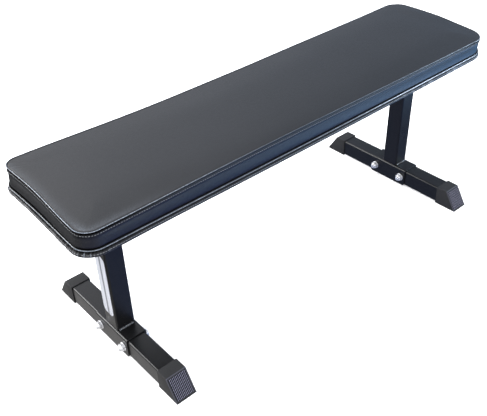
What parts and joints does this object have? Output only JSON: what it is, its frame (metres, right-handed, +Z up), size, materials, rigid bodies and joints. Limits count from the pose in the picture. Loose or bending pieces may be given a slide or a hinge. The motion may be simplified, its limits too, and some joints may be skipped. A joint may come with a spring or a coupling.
{
  "type": "flat weight bench",
  "caption": "Flat weight bench with a sewn vinyl cushion on a square steel tube frame, with cross feet and ribbed rubber end caps.",
  "frame": {"origin": "on the floor, midway between the two feet and on the bench centre line", "axes": "+X along the bench towards its plain upright, the labelled upright being at -X; +Y across the bench; +Z up"},
  "size_m": [1.187, 0.458, 0.445],
  "materials": {
    "vinyl": "matte charcoal PVC leather with a fine grain",
    "foam": "open cell foam",
    "plywood": "bare plywood",
    "dust_cloth": "black non-woven cloth",
    "black_steel": "black satin powder coat",
    "zinc_steel": "bright zinc plate",
    "cap_rubber": "matte moulded black rubber",
    "black_plastic": "matte moulded black plastic",
    "label": "white satin vinyl film"
  },
  "bodies": {
    "root": {"cradle_bolt_left_inner": "zinc_steel", "cradle_bolt_left_outer": "zinc_steel", "cradle_bolt_right_inner": "zinc_steel", "cradle_bolt_right_outer": "zinc_steel", "cradle_nut_left_inner": "zinc_steel", "cradle_nut_left_outer": "zinc_steel", "cradle_nut_right_inner": "zinc_steel", "cradle_nut_right_outer": "zinc_steel", "cross_bar_left": "black_steel", "cross_bar_right": "black_steel", "foot_bolt_left_back": "zinc_steel", "foot_bolt_left_front": "zinc_steel", "foot_bolt_right_back": "zinc_steel", "foot_bolt_right_front": "zinc_steel", "foot_cap_left_back": "cap_rubber", "foot_cap_left_front": "cap_rubber", "foot_cap_right_back": "cap_rubber", "foot_cap_right_front": "cap_rubber", "foot_nut_left_back": "zinc_steel", "foot_nut_left_front": "zinc_steel", "foot_nut_right_back": "zinc_steel", "foot_nut_right_front": "zinc_steel", "foot_saddle_left": "black_steel", "foot_saddle_right": "black_steel", "foot_tube_left": "black_steel", "foot_tube_right": "black_steel", "head_washer_left_back": "zinc_steel", "head_washer_left_front": "zinc_steel", "head_washer_right_back": "zinc_steel", "head_washer_right_front": "zinc_steel", "main_rail": "black_steel", "nut_washer_left_back": "zinc_steel", "nut_washer_left_front": "zinc_steel", "nut_washer_right_back": "zinc_steel", "nut_washer_right_front": "zinc_steel", "pad_board": "plywood", "pad_bolt_left_back": "zinc_steel", "pad_bolt_left_front": "zinc_steel", "pad_bolt_right_back": "zinc_steel", "pad_bolt_right_front": "zinc_steel", "pad_cover": "vinyl", "pad_dust_cloth": "dust_cloth", "pad_foam": "foam", "rail_cradle_left": "black_steel", "rail_cradle_right": "black_steel", "rail_plug_left": "black_plastic", "rail_plug_right": "black_plastic", "tee_nut_left_back": "zinc_steel", "tee_nut_left_front": "zinc_steel", "tee_nut_right_back": "zinc_steel", "tee_nut_right_front": "zinc_steel", "upright_label": "label", "upright_left": "black_steel", "upright_right": "black_steel"}
  },
  "joints": []
}
